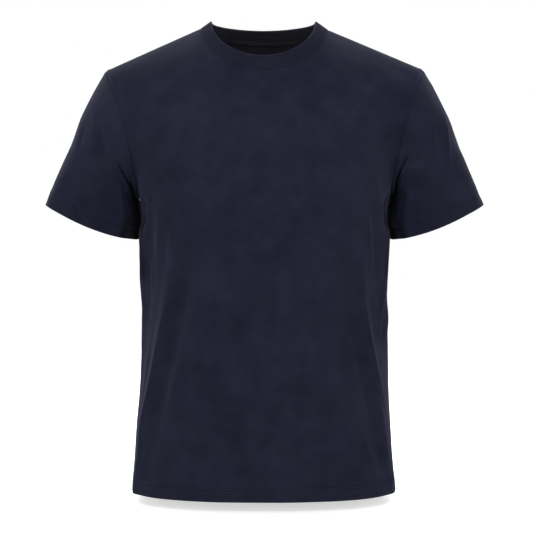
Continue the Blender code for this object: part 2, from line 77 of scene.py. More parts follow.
# Folds of the body, in millimetres: a path down the panel, in degrees round it from its middle
# (90 is a side seam, and minus is the wearer's right) and heights, then how wide it is to either
# side, how far it stands out, and the share of that left at its lower end.
BODY_FOLDS = {
    "front": [
        ([(-76.9, -242), (-69.5, -258), (-68.5, -277), (-73.4, -288), (-77, -302)], 3.2, -6, 0),
        ([(79, -234), (72.5, -256), (73.5, -280), (79, -298)], 3.2, -5.5, 0),
        ([(-34.8, -270), (-53.3, -467), (-63.4, -560), (-71.4, -676)], 12, 6, 0.5),
        ([(-34.7, -291), (-45.7, -396), (-56.5, -499), (-63.8, -560), (-70.4, -642),
          (-70.5, -672)], 3.6, 2.4, 0.6),
        ([(-27.8, -270), (-43.5, -467), (-59.2, -655)], 13, -6.5, 0.2),
        ([(-30.8, -280), (-28.7, -384), (-35.4, -474), (-45.7, -560), (-50.4, -600)], 10, 3, 0),
        ([(-56.1, -225), (-60.9, -330), (-70.8, -470)], 11, -4.5, 0),
        ([(-66.8, -250), (-76, -400), (-81.2, -560)], 11, 4, 0),
        ([(-50, -255), (-52, -311), (-55.5, -380)], 5, 2.3, 0),
        ([(-44.5, -262), (-46.5, -320), (-49, -372)], 5.5, -1.4, 0),
        ([(-39.1, -268), (-42.1, -345)], 5, 1.8, 0),
        ([(-59.4, -318), (-61, -360), (-66, -405)], 4.2, 2.4, 0),
        ([(-64, -262), (-66, -310), (-71, -372)], 4.6, 2.3, 0),
        ([(-72, -330), (-74.5, -380), (-73, -440)], 4.5, 1.9, 0),
        ([(-62.5, -440), (-67, -500), (-74, -560)], 6, 2.1, 0),
        ([(-24.9, -300), (-25.7, -395), (-24, -470)], 11, 1.4, 0),
        ([(-15.4, -300), (-15.9, -420)], 10, -1.1, 0),
        ([(-55, -560), (-60, -610), (-62.5, -655)], 6, 1.5, 0),
        ([(40.5, -290), (50.6, -450), (61.5, -560), (73.3, -676)], 12, 5.5, 0.5),
        ([(40.7, -300), (45.8, -384), (53.7, -470), (59.8, -514), (67, -550), (72, -590),
          (72.8, -660)], 3.6, 2.5, 0.6),
        ([(33.2, -290), (42.3, -450), (60.6, -640)], 13, -5.8, 0.2),
        ([(50.1, -215), (55.8, -300), (64.5, -420)], 11, -4.5, 0),
        ([(63.3, -230), (70, -360), (79.6, -540)], 11, 4, 0),
        ([(49.2, -240), (51.8, -305), (56.8, -362)], 4.5, 2.3, 0),
        ([(43.8, -250), (46, -305), (49.5, -345)], 5, -1.3, 0),
        ([(60.5, -300), (62, -345), (66.5, -400)], 4.5, 1.9, 0),
        ([(72, -345), (68, -395), (64.5, -452)], 4.2, 2.1, 0),
        ([(75.5, -385), (74, -427), (70, -470)], 4.5, 2.1, 0),
        ([(27.5, -330), (30.5, -430), (35, -520)], 13, -1.4, 0),
        ([(19, -420), (20.5, -520), (22.5, -610)], 15, 1.2, 0),
        ([(40.3, -545), (46.5, -594), (52.7, -649)], 5.5, 1.6, 0),
        ([(48, -585), (53, -625), (57, -660)], 5, 1.5, 0),
    ],
    "back": [
        ([(-36.6, -230), (-51.2, -440), (-66.9, -660)], 14, 6, 0.4),
        ([(-37.5, -250), (-44, -340), (-53, -450), (-61, -570), (-66, -650)], 4, 1.5, 0.4),
        ([(-27.9, -240), (-38.9, -440), (-53.5, -650)], 15, -6, 0.2),
        ([(-64, -230), (-70, -350), (-78, -520)], 12, 4, 0),
        ([(-12.6, -300), (-15.6, -430), (-18.2, -600)], 18, 4.5, 0),
        ([(-55, -240), (-57.5, -300), (-61, -370)], 5.5, 1.4, 0),
        ([(-47, -255), (-50, -330), (-54, -390)], 5, -1.3, 0),
        ([(-70, -390), (-66, -450), (-69, -510)], 4.5, 1.4, 0),
        ([(-24, -470), (-28, -550), (-30, -630)], 11, 1.6, 0),
        ([(35, -230), (47.5, -430), (69.5, -650)], 14, 5.5, 0.4),
        ([(35.5, -260), (41, -350), (49.5, -450), (60, -560), (68.5, -645)], 4, 1.4, 0.4),
        ([(26.6, -250), (36.9, -430), (52.8, -640)], 15, -5.5, 0.2),
        ([(62, -220), (69, -340), (76, -500)], 12, 4, 0),
        ([(9.3, -320), (12.9, -440), (15, -580)], 18, 4, 0),
        ([(54, -245), (56, -310), (61.5, -385)], 5.5, 1.4, 0),
        ([(46.5, -265), (48, -330), (52.5, -400)], 5, -1.2, 0),
        ([(72, -370), (67.5, -430), (70.5, -500)], 4.5, 1.3, 0),
        ([(-6, -115), (-3, -185), (-4, -260)], 16, -1.2, 0),
        ([(20, -510), (24.5, -580), (25, -640)], 10, 1.3, 0),
    ],
}

FOLD_EASE = 0.012                   # how far the corners of a fold's path are rounded
FOLD_GROW, FOLD_FADE = 0.09, 0.14   # how far a fold takes to rise at its top, and to die away
RIPPLES = (0.070, 0.190, 0.00060), (0.028, 0.060, 0.00016)  # shortest and longest wave, height

HEM_TURN = 0.0208                   # how much of the cloth is turned up inside
HEM_STITCHES = (0.0150, 0.0193)     # heights of the two needle lines above the edge
HEM_LAYERS = 0.0015                 # from the outside to the turned layer's own outer side


def smooth(value):
    value = np.clip(value, 0.0, 1.0)
    return value * value * (3.0 - 2.0 * value)


def section(z):
    """The four half sizes of a level section, with the table's corners eased."""
    return [sum(np.interp(z + shift, SECTIONS[:, 0], SECTIONS[:, column])
                for shift in (-0.014, 0.0, 0.014)) / 3.0 for column in (1, 2, 3, 4)]


def neck_tilt(x):
    return -NECK_TILT * smooth((x + NECK_HALF) / (2.0 * NECK_HALF))


def ridge_height(x):
    """Height of the shoulder line, carried on gently across the neck."""
    run = SHOULDER_X - NECK_HALF
    slope = (SHOULDER_DROP_LEFT + SHOULDER_DROP_RIGHT) / 2.0 / run
    start = neck_tilt(x)
    drop = np.where(x > 0.0, SHOULDER_DROP_LEFT, SHOULDER_DROP_RIGHT)
    inside = start + slope * NECK_HALF / 2.0 * (1.0 - (x / NECK_HALF) ** 2)
    outside = start - (drop + start) * (np.abs(x) - NECK_HALF) / run
    return np.where(np.abs(x) < NECK_HALF, inside, outside)


def neckline_height(panel, x):
    drop, shape = NECKLINES[panel]
    part = np.clip(np.abs(x) / NECK_HALF, 0.0, 1.0)
    return neck_tilt(x) - drop * (1.0 - part ** shape) ** (1.0 / shape)


def armhole_x(rise):
    return UNDERARM_X + (SHOULDER_X - UNDERARM_X) * rise ** 1.5


def arch_at(panel, across):
    middle, beside = ARCHES[panel]
    return middle + (beside - middle) * smooth(np.abs(across) * SHOULDER_X / NECK_HALF)


def points_of(panel, x, depth, z):
    return np.stack([x, -depth if panel == "front" else depth, z], axis=-1)


def lower_body(panel, across, z):
    """Points under the armholes. across runs from -1 at the right side seam to 1 at the left."""
    right, left, front, back = section(z)
    x = across * np.where(across > 0.0, left, right)
    depth = front if panel == "front" else back
    inside = (1.0 - np.abs(across) ** GIRTH_SHAPE) ** (1.0 / GIRTH_SHAPE)
    return points_of(panel, x, depth * inside, z)


def upper_body(panel, across, rise):
    """Points beside and above the armholes. rise runs from 0 at the underarm to 1 at the top."""
    depth = SECTIONS[-1, 3 if panel == "front" else 4]
    arch = arch_at(panel, across)
    x = across * armhole_x(rise)
    z = UNDERARM_Z + (ridge_height(x) - UNDERARM_Z) * rise
    fullness = np.clip(1.0 - rise ** arch, 0.0, 1.0) ** (1.0 / arch)
    edge = ARMHOLE_DEPTH * np.sqrt(1.0 - (1.0 - rise) ** 2)
    inside = depth * (1.0 - np.abs(across) ** GIRTH_SHAPE) ** (1.0 / GIRTH_SHAPE)
    return points_of(panel, x, fullness * (edge ** 6 + inside ** 6) ** (1.0 / 6.0), z)


def neckline(panel, x):
    """Points of the neckline's seam, with where each stands across the panel and its rise."""
    rise = (neckline_height(panel, x) - UNDERARM_Z) / (ridge_height(x) - UNDERARM_Z)
    across = x / armhole_x(rise)
    return upper_body(panel, across, rise), across, rise


def outward(points, around=False):
    """Unit normals of a grid of points, whose columns run to the right as seen from outside."""
    if around:
        points = np.concatenate([points[:, -1:], points, points[:, :1]], axis=1)
    normal = np.cross(np.gradient(points, axis=1), np.gradient(points, axis=0))
    normal /= np.maximum(np.linalg.norm(normal, axis=-1, keepdims=True), 1e-12)
    return normal[:, 1:-1] if around else normal


def lengths(points, axis):
    """Length along the rows (axis 1) or the columns (axis 0) of a grid, from its start."""
    steps = np.linalg.norm(np.diff(points, axis=axis), axis=-1)
    start = np.zeros_like(np.take(steps, [0], axis=axis))
    return np.cumsum(np.concatenate([start, steps], axis=axis), axis=axis)


def uneven(u, v, seed, shortest, longest, height):
    """A gentle unevenness over a surface, made of waves in all directions."""
    chance = np.random.default_rng(seed)
    total = 0.0
    for _ in range(12):
        length = chance.uniform(shortest, longest)
        turn, start = chance.uniform(0.0, 2.0 * math.pi, 2)
        way = u * math.cos(turn) + v * math.sin(turn)
        total = total + np.sin(2.0 * math.pi * way / length + start)
    return total * height / 3.5


def body_folds(panel, points, across):
    """How far each point of a panel is moved outwards by the folds."""
    z = points[..., 2]
    right, left, front, back = section(z)
    depth = front if panel == "front" else back
    move = np.zeros_like(z)
    for path, width, height, last in BODY_FOLDS[panel]:
        degrees, heights = (np.array(path)[::-1] / (1.0, 1000.0)).T
        angle = np.radians(sum(np.interp(z + shift, heights, degrees)
                               for shift in (-FOLD_EASE, 0.0, FOLD_EASE)) / 3.0)
        start, end = heights[-1], heights[0]
        x = np.sign(angle) * np.where(angle > 0.0, left, right)
        x = x * np.abs(np.sin(angle)) ** (2.0 / GIRTH_SHAPE)
        y = depth * np.cos(angle) ** (2.0 / GIRTH_SHAPE)
        aside = np.hypot(points[..., 0] - x, np.abs(points[..., 1]) - y)
        half = 0.5 * (start - end)
        grow = smooth((start - z) / min(FOLD_GROW, half))
        fade = last + (1.0 - last) * smooth((z - end) / min(FOLD_FADE, half))
        ridge = height / 1000.0 * np.exp(-(aside / (width / 1000.0)) ** 2)
        move += ridge * grow * fade * (z >= end - 0.001)
    return move * smooth((1.0 - np.abs(across)) / 0.03)


def hem_heights(stitches, others):
    """Heights of a hem's rows of points, close together round the edge and at the needles."""
    fine = np.arange(stitches[0] - 0.0015, stitches[1] + 0.0018, 0.00045)
    rows = np.concatenate([[0.0, 0.0002, 0.00075, 0.002, 0.004, 0.007, 0.0105], fine, stitches])
    return np.unique(np.round(np.concatenate([rows[rows < stitches[1] + 0.0019], others]), 5))


def hem_relief(height, stitches, along, seed):
    """The two needle lines draw the cloth in, and the turned edge stays a little fuller."""
    relief = 0.00018 * smooth((stitches[1] + 0.005 - height) / 0.003)
    for line in stitches:
        relief = relief - 0.00055 * np.exp(-((height - line) / 0.0008) ** 2)
    pucker = uneven(along, height * 0.3, seed, 0.007, 0.016, 0.00022)
    pucker = pucker + uneven(along, height, seed + 1, 0.030, 0.060, 0.00035)
    return relief + pucker * np.exp(-((height - stitches[0]) / 0.012) ** 2)


SIDE_PULL = 0.0050                  # how far the side is pulled in under the arm
SIDE_PULL_DROP = 0.028              # how far below the underarm's point that is strongest
SIDE_PULL_REACH = 0.022


def side_pull(z):
    return SIDE_PULL * np.exp(-((z - UNDERARM_Z + SIDE_PULL_DROP) / SIDE_PULL_REACH) ** 4)


SEAM_SINK = 0.0009
SEAM_WIDTH = 0.0016
TOP_ALLOWANCE = 0.00020             # how far the allowance behind a seam lifts the cloth at the
SIDE_ALLOWANCE = 0.00055            # neck, shoulders and armholes, and down the sides


def seam_relief(distance, allowance=0.0):
    """A seam draws both edges in, and the allowance pressed behind one of them lifts it."""
    lifted = allowance * np.exp(-((distance - 0.0038) / 0.0019) ** 2)
    return lifted - SEAM_SINK * np.exp(-(distance / SEAM_WIDTH) ** 2)


SHOULDER_COLUMN = 0.46              # where the column from the neck's end stands lower down


def body_columns(panel):
    """Where each column stands, from -1 to 1: low down, at its top, and how far up that is."""
    steps = np.linspace(0.0, 1.0, 25)
    # Closer together towards the shoulder, where the neckline turns back.
    angle = (1.0 - (1.0 - steps) ** 1.35) * math.pi / 2.0
    x = np.sin(angle) ** (2.0 / NECKLINES["front"][1]) * NECK_HALF
    _, neck, rise = neckline(panel, np.concatenate([-x[:0:-1], x]))
    neck_end = NECK_HALF / SHOULDER_X
    neck[[0, -1]] = -neck_end, neck_end
    rise[[0, -1]] = 1.0
    side = np.concatenate([np.linspace(0.0, 0.972, 62)[1:], [0.983, 0.991, 0.9965, 1.0]])
    begin = math.asin(SHOULDER_COLUMN ** (GIRTH_SHAPE / 2.0))
    side_low = np.sin(begin + (math.pi / 2.0 - begin) * side) ** (2.0 / GIRTH_SHAPE)
    side_top = neck_end + (1.0 - neck_end) * side
    low = np.concatenate([steps * SHOULDER_COLUMN, side_low])
    low = np.concatenate([-low[:0:-1], low])
    top = np.concatenate([-side_top[::-1], neck, side_top])
    return low, top, np.concatenate([np.ones_like(side), rise, np.ones_like(side)]), side.size


PLAIN_FROM_Z = -0.6440              # above the hem's own close rows
LOWER_ROWS, UPPER_ROWS = 99, 88


def body_grid(panel):
    """The panel's outer surface from the hem up: points, and where they stand across."""
    low, top, rise_top, _ = body_columns(panel)
    z = HEM_Z + hem_heights(HEM_STITCHES, (0.0225, 0.0250, 0.0285))
    z = np.concatenate([z, np.linspace(PLAIN_FROM_Z, UNDERARM_Z, LOWER_ROWS)[:-1]])
    lower_across = low + 0.0 * z[:, None]
    lower = lower_body(panel, lower_across, z[:, None] + 0.0 * low)
    climb = np.linspace(0.0, 1.0, UPPER_ROWS) ** 1.5
    climb = np.sort(np.concatenate([climb, 1.0 - np.array([0.0022, 0.0050, 0.0087])]))
    climb = np.sin(climb * math.pi / 2.0)[:, None]
    rise = climb ** (2.0 / arch_at(panel, top))
    rise = rise * (1.0 - (1.0 - rise_top) * smooth((rise - 0.3) / 0.7))
    across = top + (low - top) * (1.0 - (rise / rise_top) ** 3)
    upper = upper_body(panel, across, rise)
    return (np.concatenate([lower, upper]), np.concatenate([lower_across, across]), z - HEM_Z)


def dressed_body(panel):
    """Folds, seams and the hem's relief on the panel's outer surface."""
    base, across, heights = body_grid(panel)
    points, z = base, base[..., 2]
    turn = 1.0 if panel == "front" else -1.0
    out = outward(points) * turn
    along = lengths(points, 1)
    along = along - along[:, along.shape[1] // 2][:, None]
    down = lengths(points, 0)
    seed = 11 if panel == "front" else 23
    move = body_folds(panel, points, across)
    # Right under the arm the side is pulled in, more in front of the seam than behind it.
    beside = np.abs(across)
    pulled = smooth((beside - 0.90) / 0.06) * (1.4 - 0.4 * smooth((beside - 0.96) / 0.04))
    if panel == "back":
        pulled = smooth((beside - 0.96) / 0.04)
    move -= pulled * side_pull(z)
    from_top = down[-1] - down
    settle = smooth((1.0 - beside) / 0.04) * smooth(from_top / 0.03)
    for number, ripple in enumerate(RIPPLES):
        move += uneven(along, down, seed + 5 * number, *ripple) * settle
    move += hem_relief(down, HEM_STITCHES, along, seed + 9)
    from_side = np.minimum(along - along[:, :1], along[:, -1:] - along)
    move += seam_relief(from_top, TOP_ALLOWANCE)
    # Down the sides, and round the armholes; right under the arm the seam stands fuller.
    under_arm = np.exp(-((z - UNDERARM_Z + 0.016) / 0.014) ** 2)
    move += seam_relief(from_side, SIDE_ALLOWANCE) * (1.0 - 0.85 * under_arm)
    # The strip at the side seam, in the lee of the arm, gets painted shade: a darker colour and
    # less sheen.
    lee = smooth((z + 0.380) / 0.040) * smooth((-0.270 - z) / 0.020)
    shade_weight = lee * smooth((beside - 0.925) / 0.030)
    points = points + out * move[..., None]
    return base, points, outward(points) * turn, heights, shade_weight


def turned_rows(points, out, heights, turned, layers):
    """Adds the rows of a hem that is turned up inside: down the inner layer, round the edge.

    Also gives the number of the row that each of these rows follows."""
    inner = [row for row in range(3, len(heights)) if heights[row] <= turned]
    order = inner[::-1] + [2, 1, 0, 1]
    inset = [layers] * len(inner) + [layers * share for share in (1.0, 0.85, 0.5, 0.15)]
    inset = np.array(inset)[:, None, None]
    rows = np.concatenate([order, np.arange(2, len(points))])
    return np.concatenate([points[order] - out[order] * inset, points[2:]]), rows


PAINTED_SHADE_FROM = 0.06                # the share from which a face takes the painted-shade cloth


def piece_of(mesh):
    """Puts a finished mesh into the scene as a smooth piece of the same name."""
    mesh.shade_smooth()
    piece = bpy.data.objects.new(mesh.name, mesh)
    bpy.context.scene.collection.objects.link(piece)
    return piece


def cloth_piece(name, points, thickness, around=False, turned_over=False, painted_shade_amount=None):
    """A mesh from a grid of outer points, a layer of cloth thick, with its weave's own map."""
    painted_shade_amount = np.zeros(points.shape[:2]) if painted_shade_amount is None else painted_shade_amount
    if turned_over:
        points, painted_shade_amount = points[:, ::-1], painted_shade_amount[:, ::-1]
    u, v = lengths(points, 1), lengths(points, 0)
    if not around:
        u = u - u[:, u.shape[1] // 2][:, None]
    else:
        last = np.linalg.norm(points[:, 0] - points[:, -1], axis=-1)[:, None]
        u = np.concatenate([u, u[:, -1:] + last], axis=1)
        v = np.concatenate([v, v[:, :1]], axis=1)
    rows, columns = points.shape[:2]
    index = np.arange(rows * columns).reshape(rows, columns)
    if around:
        index = np.concatenate([index, index[:, :1]], axis=1)

    def corners(grid):
        return np.stack([grid[:-1, :-1], grid[:-1, 1:], grid[1:, 1:], grid[1:, :-1]], axis=-1)

    mesh = bpy.data.meshes.new(name)
    mesh.from_pydata(points.reshape(-1, 3).tolist(), [], corners(index).reshape(-1, 4).tolist())
    weave = mesh.uv_layers.new(name="cloth")
    weave.data.foreach_set("uv", np.stack([corners(u), corners(v)], axis=-1).ravel())
    # The painted shade is kept as an attribute of the points, which darkens the cloth's colour.
    mesh.attributes.new("painted_shade_amount", "FLOAT", "POINT").data.foreach_set("value", painted_shade_amount.ravel())
    # Faces with enough painted shade take the painted-shade cloth, third in the piece's list of
    # cloths.
    deep = (painted_shade_amount[:-1] if around else painted_shade_amount[:-1, :-1]) > PAINTED_SHADE_FROM
    mesh.polygons.foreach_set("material_index", np.where(deep, 2, 0).ravel())
    piece = piece_of(mesh)
    layer = piece.modifiers.new("layer", "SOLIDIFY")
    layer.thickness = thickness
    layer.offset = -1.0
    layer.material_offset = 1
    return piece


class Value:
    """A number from a shader socket, to be used in ordinary arithmetic."""

    def __init__(self, socket):
        self.socket = socket

    def math(self, operation, *others):
        tree = self.socket.id_data
        node = tree.nodes.new("ShaderNodeMath")
        node.operation = operation
        for place, value in zip(node.inputs, (self, *others)):
            if isinstance(value, Value):
                tree.links.new(value.socket, place)
            else:
                place.default_value = value
        return Value(node.outputs[0])

    def __add__(self, other):
        return self.math("ADD", other)

    def __mul__(self, other):
        return self.math("MULTIPLY", other)

    def __sub__(self, other):
        return self.math("SUBTRACT", other)

    def __rsub__(self, other):
        return (self * -1.0).math("ADD", other)

    __radd__ = __add__
    __rmul__ = __mul__


class Nodes:
    """A tree of shader nodes, with one way to add any node to it."""

    def __init__(self, tree):
        self.tree = tree

    def node(self, kind, settings=None, sockets=None):
        """Adds a node: first its settings, then its sockets, by name or by number."""
        node = self.tree.nodes.new("ShaderNode" + kind)
        for name, value in (settings or {}).items():
            setattr(node, name, value)
        for name, value in (sockets or {}).items():
            self.put(node.inputs[name], value)
        return node

    def put(self, place, value):
        value = getattr(value, "socket", value)
        if isinstance(value, bpy.types.NodeSocket):
            self.tree.links.new(value, place)
        elif isinstance(value, tuple) and place.type == "RGBA":
            place.default_value = (*value, 1.0)
        else:
            place.default_value = value

    def blend(self, part, first, second):
        """A colour between two others, where part runs from 0 to 1."""
        sockets = {0: part, 6: first, 7: second}
        return self.node("Mix", {"data_type": "RGBA", "clamp_factor": True}, sockets).outputs[2]

    def noise(self, where, scale, detail=2.0, roughness=0.5):
        """Noise from 0 to 1 at a place in metres, with so many features to the metre."""
        sockets = {"Vector": where, "Scale": scale, "Detail": detail, "Roughness": roughness}
        return Value(self.node("TexNoise", None, sockets).outputs[0])

    def place(self):
        return self.node("TexCoord").outputs["Object"]


class Fabric(Nodes):
    """A new material, its shader's sockets set by name."""

    def __init__(self, name):
        self.material = bpy.data.materials.new(name)
        self.material.use_nodes = True
        super().__init__(self.material.node_tree)
        self.shader = self.tree.nodes["Principled BSDF"]

    def feed(self, sockets):
        for name, value in sockets.items():
            self.put(self.shader.inputs[name], value)

    def thread_map(self):
        """Distances in metres across and along the cloth, as two values."""
        uv = self.node("UVMap", {"uv_map": "cloth"}).outputs[0]
        parts = self.node("SeparateXYZ", None, {"Vector": uv})
        return Value(parts.outputs[0]), Value(parts.outputs[1])

    def raised(self, height, strength, distance):
        """The shader's normal over a relief of heights from 0 to 1."""
        sockets = {"Height": height, "Strength": strength, "Distance": distance}
        return self.node("Bump", None, sockets).outputs[0]


JERSEY_COLOUR = (0.0108, 0.0124, 0.0270)
JERSEY_FADED = (0.0232, 0.0250, 0.0468)
PAINTED_SHADE_COLOUR = (0.0080, 0.0080, 0.0120)          # painted shade, down in the folds under the arms
INNER_SIDE_PAINTED_LIGHT = (0.0170, 0.0162, 0.0225)        # the cloth's inner side, greyer and lighter: painted light for the shaded inside
INNER_SIDE_PAINTED_LIGHT_FADED = (0.0290, 0.0276, 0.0370)
WALE = 0.00082                      # one column of knit stitches
COURSE = 0.00062                    # one row of them


def knit_relief(across, along, wale, course):
    """Height, from 0 to 1, of the small V stitches of a plain knit."""
    column = (across * (1.0 / wale)).math("PINGPONG", 0.5)
    row = (along * (1.0 / course) + column * 0.9) * (2.0 * math.pi)
    stitch = row.math("SINE") * 0.5 + 0.5
    furrow = (column * (4.0 * math.pi)).math("COSINE") * -0.5 + 0.5
    return stitch * 0.45 + furrow * 0.55


def dyed(cloth, colour, faded, seed):
    """The cloth's colour: a slightly patchy dye, lighter where washing has rubbed it, and darkened
    by painted shade where the attribute says.
    """
    place = cloth.place()
    patches = cloth.noise(place, 34.0 + seed, 3.0, 0.62)
    clouds = cloth.noise(place, 9.0 + seed, 2.0, 0.5)
    fade = (patches * 0.62 + clouds * 0.38 - 0.30) * 2.4
    # The attribute paints shade over the dye, towards a dark painted-shade navy.
    shade_weight = cloth.node("Attribute", {"attribute_name": "painted_shade_amount"}).outputs["Fac"]
    return cloth.blend(shade_weight, cloth.blend(fade, colour, faded), PAINTED_SHADE_COLOUR), patches


def napped(cloth, nap):
    """The soft shine of cotton's fine nap."""
    cloth.feed({"Specular IOR Level": 1.2 * nap, "Sheen Weight": nap, "Sheen Roughness": 0.45,
                "Sheen Tint": (0.62, 0.66, 0.85)})


def jersey_cloth(name, colour, faded, nap=0.05):
    cloth = Fabric(name)
    across, along = cloth.thread_map()
    colour, patches = dyed(cloth, colour, faded, 0.0)
    knit = knit_relief(across, along, WALE, COURSE)
    fuzz = cloth.noise(cloth.place(), 900.0, 2.0, 0.6)
    cloth.feed({"Base Color": colour, "Roughness": patches * 0.16 + 0.78,
                "Normal": cloth.raised(knit * 0.75 + fuzz * 0.25, 0.55, 0.00016)})
    napped(cloth, nap)
    return cloth.material


jersey = jersey_cloth("jersey_navy_washed", JERSEY_COLOUR, JERSEY_FADED)
# The inner side's cloth is painted lighter, standing in for light in the shaded inside of the
# shirt.
jersey_painted_light_inside = jersey_cloth("jersey_navy_painted_light_inside", INNER_SIDE_PAINTED_LIGHT, INNER_SIDE_PAINTED_LIGHT_FADED)
# This cloth has half the sheen, and with the attribute's darker colour it paints shade under the
# arms.
jersey_with_painted_shade = jersey_cloth("jersey_navy_painted_shade", JERSEY_COLOUR, JERSEY_FADED, nap=0.025)
grids = {panel: dressed_body(panel) for panel in ("front", "back")}
# The two panels share their seam lines at the shoulders and the sides.
front_points, back_points = grids["front"][1], grids["back"][1]
under_arms = len(grids["front"][3])
shoulder = body_columns("front")[3] + 1
for columns in (slice(0, shoulder), slice(-shoulder, None)):
    back_points[-1, columns] = front_points[-1, columns]
back_points[:under_arms + 1, [0, -1]] = front_points[:under_arms + 1, [0, -1]]

thread_lines = {}
for panel, (base, points, out, heights, shade_weight) in grids.items():
    whole, rows = turned_rows(points, out, heights, HEM_TURN, HEM_LAYERS)
    piece = cloth_piece("jersey_" + panel, whole, JERSEY, turned_over=panel == "back",
                        painted_shade_amount=shade_weight[rows])
    for cloth in (jersey, jersey_painted_light_inside, jersey_with_painted_shade, jersey_painted_light_inside):
        piece.data.materials.append(cloth)
    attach(piece, "root")
    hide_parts(panel)
    grids[panel] = (base[under_arms:], points[under_arms:], piece)
    for number, line in enumerate(HEM_STITCHES):
        row = int(np.argmin(np.abs(heights - line)))
        thread_lines[panel, number] = points[row], out[row]


# ---------------------------------------------------------------- sleeves
# Two set-in sleeves of the same jersey, each a tube closed by a seam under the arm and sewn into
# the armhole. The cuff is turned up 18 mm inside and held by a twin needle.

SLEEVE_HEM_OUTER = np.array([0.3250, -0.008, -0.2585])
SLEEVE_HEM_INNER = np.array([0.1880, 0.044, -0.3095])
SLEEVE_HEM_HALF_DEPTH = 0.041
SLEEVE_HEM_DIP = 0.009
SLEEVE_HEM_LIFT = 0.008             # the seam under the arm holds the cuff up there
SLEEVE_HEM_LIFT_REACH = 0.014
SLEEVE_PULL = 1.1                   # the inner side's share of the pull on the body's side
UNDERARM_GAP = 0.0006
CUFF_TURN = 0.0188
CUFF_STITCHES = (0.0130, 0.0173)
SLEEVE_RIPPLES = (0.050, 0.130, 0.00050), (0.024, 0.050, 0.00014)

# Folds of the sleeves: a path of places, each as the share of the way from the armhole to the
# cuff and the degrees round the sleeve (0 at its top, 90 at the front, 180 under the arm), then,
# in millimetres, the fold's half width at the path's two ends and its height, and the share of
# that at the far end.
SLEEVE_FOLDS = {
    "right": [
        ([(0.305, 96), (0.281, 115), (0.267, 128), (0.28, 143), (0.36, 152)], 2.6, 6, -9, 0.6),
        ([(0.36, 104), (0.42, 126), (0.62, 142), (0.95, 141)], 4, 9, -3.4, 0.6),
        ([(0.2, 36), (0.31, 56), (0.39, 73), (0.49, 86), (0.6, 97)], 6, 9, -3, 0),
        ([(0.2, 28), (0.34, 43), (0.47, 60), (0.56, 72)], 5, 6, 1.6, 0),
        ([(0.46, 92), (0.56, 103), (0.68, 117), (0.88, 124)], 5, 7, 2.2, 0),
        ([(0.33, 22), (0.44, 29), (0.58, 36)], 5, 6, -1.6, 0),
        ([(0.22, 62), (0.34, 86), (0.38, 104)], 6, 6, 1.3, 0),
        ([(0.62, 52), (0.78, 62), (0.94, 66)], 9, 13, 1.2, 0.5),
        ([(0.34, 0), (0.7, 0), (1, 0)], 34, 34, -4.2, 1),
        ([(0.24, 212), (0.5, 214), (0.98, 210)], 4, 8, -6, 0.8),
        ([(0.3, 250), (0.55, 238), (0.95, 228)], 6, 10, -3.4, 0.6),
        ([(0.22, 318), (0.42, 296), (0.6, 280)], 6, 9, -2.8, 0),
        ([(0.28, 268), (0.48, 256), (0.8, 246)], 5, 6, 1.8, 0),
        ([(0.3, 332), (0.52, 318), (0.72, 308)], 6, 6, 1.4, 0),
    ],
    "left": [
        ([(0.225, 98), (0.165, 112), (0.14, 124), (0.16, 138), (0.25, 148)], 3.4, 6.4, -9, 0.6),
        ([(0.3, 118), (0.46, 134), (0.68, 143), (0.95, 142)], 4, 9, -3.4, 0.6),
        ([(0.2, 112), (0.3, 98), (0.37, 82), (0.42, 70)], 4, 8, -2.6, 0),
        ([(0.26, 116), (0.37, 96), (0.46, 80)], 4, 6, 1.8, 0),
        ([(0.28, 42), (0.362, 51.5), (0.481, 59), (0.6, 64)], 3, 3, 3.2, 0),
        ([(0.3, 14), (0.413, 25), (0.544, 40), (0.64, 50)], 3, 3, 3.2, 0),
        ([(0.36, 62), (0.5, 72), (0.64, 82)], 6, 8, -2, 0),
        ([(0.52, 108), (0.7, 118), (0.92, 124)], 6, 8, 2, 0),
        ([(0.6, 40), (0.78, 52), (0.94, 58)], 9, 12, 1.2, 0.5),
        ([(0.34, 0), (0.7, 0), (1, 0)], 34, 34, -4.2, 1),
        ([(0.22, 210), (0.5, 212), (0.98, 209)], 4, 8, -6, 0.8),
        ([(0.3, 246), (0.55, 236), (0.95, 226)], 6, 10, -3.4, 0.6),
        ([(0.24, 322), (0.42, 302), (0.62, 284)], 6, 9, -2.6, 0),
        ([(0.28, 262), (0.48, 254), (0.78, 242)], 5, 6, 1.8, 0),
        ([(0.28, 338), (0.5, 324), (0.74, 316)], 6, 6, 1.5, 0),
    ],
}

# Beside the body the front of the sleeve first stands forward, and then drops back into a deep
# slot: its path, its half width at the top and at the cuff, and how far back its floor lies there.
SLEEVE_LIP = ([(0.4, 110), (0.65, 126), (1, 130)], 12, 18, -14, 1)
SLEEVE_SLOTS = {
    "right": ([(0.12, 140), (0.26, 144), (0.42, 154), (0.62, 162), (1.05, 164)], 6, 35, 24, 56),
    "left": ([(0.05, 132), (0.18, 144), (0.36, 155), (0.6, 165), (1.05, 167)], 8, 32, 24, 56),
}
FOLD_MAP = 170.0                    # the length of sleeve that folds are drawn on, 360 mm round


def hermite(start, leaving, end, arriving, t):
    return (start * (2 * t ** 3 - 3 * t ** 2 + 1) + leaving * (t ** 3 - 2 * t ** 2 + t)
            + end * (-2 * t ** 3 + 3 * t ** 2) + arriving * (t ** 3 - t ** 2))


def unit(vectors):
    return vectors / np.linalg.norm(vectors, axis=-1, keepdims=True)


def loop_round(side, part):
    """The armhole's points, from the shoulder down the front and up the back again."""
    edge = -1 if side == "left" else 0
    front, back = grids["front"][part][:, edge], grids["back"][part][:, edge]
    return np.concatenate([front[::-1], back[1:-1]]), len(front) - 1


